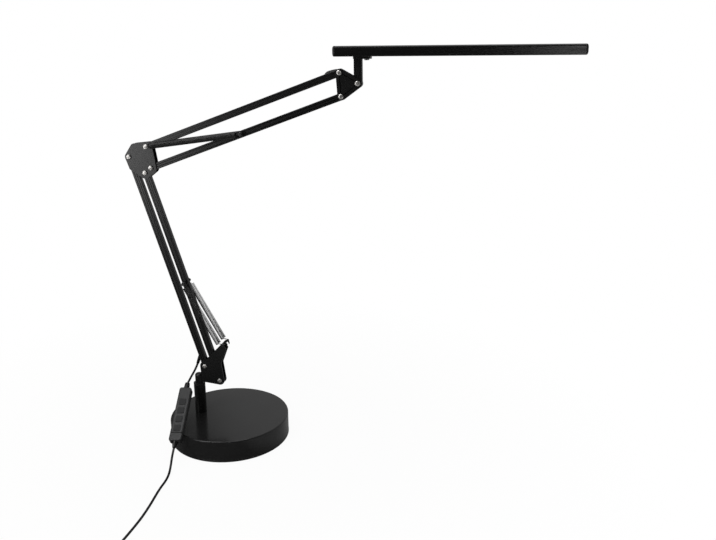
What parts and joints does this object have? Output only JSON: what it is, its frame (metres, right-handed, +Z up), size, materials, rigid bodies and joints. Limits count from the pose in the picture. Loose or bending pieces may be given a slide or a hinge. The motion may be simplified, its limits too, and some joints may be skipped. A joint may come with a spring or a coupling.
{
  "type": "desk lamp",
  "caption": "Desk lamp with a slim LED bar head on a spring-balanced double-parallelogram arm, a round weighted base with a swivel post, and an in-line button control on its lead.",
  "frame": {"origin": "centre of the round base's underside, on the table", "axes": "+Z up; the arms lie in the XZ plane, with +X from the post towards the lamp head; the lead and its control lie on the -Y side"},
  "size_m": [0.6784, 0.4963, 0.6329],
  "materials": {
    "black_coat": "satin black powder coat",
    "black_aluminium": "satin black anodised",
    "ballast": "raw casting",
    "bright_steel": "nickel plated",
    "black_oxide": "black oxide",
    "plain_steel": "zinc plated",
    "black_plastic": "fine texture",
    "grey_plastic": "fine texture",
    "button_rubber": "matt",
    "bush_nylon": "plain",
    "foam_pad": "fine foam",
    "cable_jacket": "matt",
    "diffuser_plastic": "frosted",
    "circuit_board": "solder mask",
    "led_substrate": "white solder mask",
    "led_package": "silicone dome"
  },
  "bodies": {
    "base": {"base_cover": "black_coat", "base_weight": "ballast", "base_floor": "black_coat", "base_pad": "foam_pad", "base_screws": "plain_steel", "post": "black_coat", "post_bolt": "plain_steel", "post_bush": "bush_nylon", "control_front_shell": "grey_plastic", "control_back_shell": "grey_plastic", "control_board": "circuit_board", "control_relief_lower": "cable_jacket", "control_relief_upper": "cable_jacket", "lead_upper": "cable_jacket", "lead_lower": "cable_jacket", "lead_coil": "cable_jacket", "lead_tie": "cable_jacket", "plug_grip": "cable_jacket", "plug_shell": "bright_steel"},
    "turret": {"swivel_block": "black_coat", "turret_plate_near": "black_coat", "turret_plate_far": "black_coat", "turret_bolts": "bright_steel", "turret_nuts": "bright_steel", "spring_hook_pin": "black_oxide", "lower_spring_near": "black_oxide", "lower_spring_far": "black_oxide"},
    "lower_rear": {"lower_rear_tube": "black_coat", "lower_wire_boot": "cable_jacket"},
    "lower_front": {"lower_front_tube": "black_coat", "lower_spring_pin": "black_oxide"},
    "elbow": {"elbow_plate_near": "black_coat", "elbow_plate_far": "black_coat", "elbow_bolts": "bright_steel", "elbow_nuts": "bright_steel", "elbow_spring_bolt": "bright_steel", "elbow_spring_nut": "bright_steel", "upper_spring_near": "black_oxide", "upper_spring_far": "black_oxide"},
    "upper_top": {"upper_top_tube": "black_coat", "upper_wire_boot": "cable_jacket"},
    "upper_bottom": {"upper_bottom_tube": "black_coat", "upper_spring_pin": "black_oxide"},
    "head_bracket": {"head_plate_near": "black_coat", "head_plate_far": "black_coat", "head_bolts": "bright_steel", "head_nuts": "bright_steel"},
    "head": {"head_stem": "black_coat", "head_screws": "plain_steel", "head_housing": "black_aluminium", "head_cap_left": "black_plastic", "head_cap_right": "black_plastic", "head_mount_plate": "black_plastic", "diffuser": "diffuser_plastic", "led_board": "led_substrate", "leds": "led_package"},
    "button_1": {"control_button_1": "button_rubber"},
    "button_2": {"control_button_2": "button_rubber"},
    "button_3": {"control_button_3": "button_rubber"},
    "button_4": {"control_button_4": "button_rubber"}
  },
  "joints": [
    {"name": "base_swivel", "type": "hinge", "parent": "base", "child": "turret", "pos_m": [-0.051, 0, 0.08955], "axis": [0, 0, 1], "range_deg": [-90, 90], "deforming": ["lead_upper"]},
    {"name": "lower_arm", "type": "hinge", "parent": "turret", "child": "lower_rear", "pos_m": [-0.037, 0, 0.12205], "axis": [0, 1, 0], "range_deg": [-9, 20], "deforming": ["lead_upper", "lower_spring_near", "lower_spring_far"]},
    {"name": "lower_front_link", "type": "hinge", "parent": "turret", "child": "lower_front", "pos_m": [-0.01243, 0, 0.09783], "axis": [0, 1, 0], "range_deg": [-9, 20], "deforming": ["lower_spring_near", "lower_spring_far"]},
    {"name": "elbow_level", "type": "hinge", "parent": "lower_rear", "child": "elbow", "pos_m": [-0.13987, 0, 0.46495], "axis": [0, 1, 0], "range_deg": [-20, 9]},
    {"name": "upper_arm", "type": "hinge", "parent": "elbow", "child": "upper_top", "pos_m": [-0.10758, 0, 0.48205], "axis": [0, 1, 0], "range_deg": [-45, 35], "deforming": ["upper_spring_near", "upper_spring_far"]},
    {"name": "upper_bottom_link", "type": "hinge", "parent": "elbow", "child": "upper_bottom", "pos_m": [-0.10506, 0, 0.44865], "axis": [0, 1, 0], "range_deg": [-45, 35], "deforming": ["upper_spring_near", "upper_spring_far"]},
    {"name": "head_level", "type": "hinge", "parent": "upper_top", "child": "head_bracket", "pos_m": [0.19274, 0, 0.59314], "axis": [0, 1, 0], "range_deg": [-35, 45]},
    {"name": "head_tilt", "type": "hinge", "parent": "head_bracket", "child": "head", "pos_m": [0.21944, 0, 0.57834], "axis": [0, 1, 0], "range_deg": [-15, 60]},
    {"name": "button_1_press", "type": "slide", "parent": "base", "child": "button_1", "axis": [-0.0703, 0.5489, -0.8329], "range_m": [0, 0.0006], "stiffness_N_per_m": 1500, "springref_m": -0.0006},
    {"name": "button_2_press", "type": "slide", "parent": "base", "child": "button_2", "axis": [-0.0703, 0.5489, -0.8329], "range_m": [0, 0.0006], "stiffness_N_per_m": 1500, "springref_m": -0.0006},
    {"name": "button_3_press", "type": "slide", "parent": "base", "child": "button_3", "axis": [-0.0703, 0.5489, -0.8329], "range_m": [0, 0.0006], "stiffness_N_per_m": 1500, "springref_m": -0.0006},
    {"name": "button_4_press", "type": "slide", "parent": "base", "child": "button_4", "axis": [-0.0703, 0.5489, -0.8329], "range_m": [0, 0.0006], "stiffness_N_per_m": 1500, "springref_m": -0.0006}
  ],
  "couplings": [
    {"joint": "lower_front_link", "follows": "lower_arm", "ratio": 1},
    {"joint": "elbow_level", "follows": "lower_arm", "ratio": -1},
    {"joint": "upper_bottom_link", "follows": "upper_arm", "ratio": 1},
    {"joint": "head_level", "follows": "upper_arm", "ratio": -1}
  ]
}
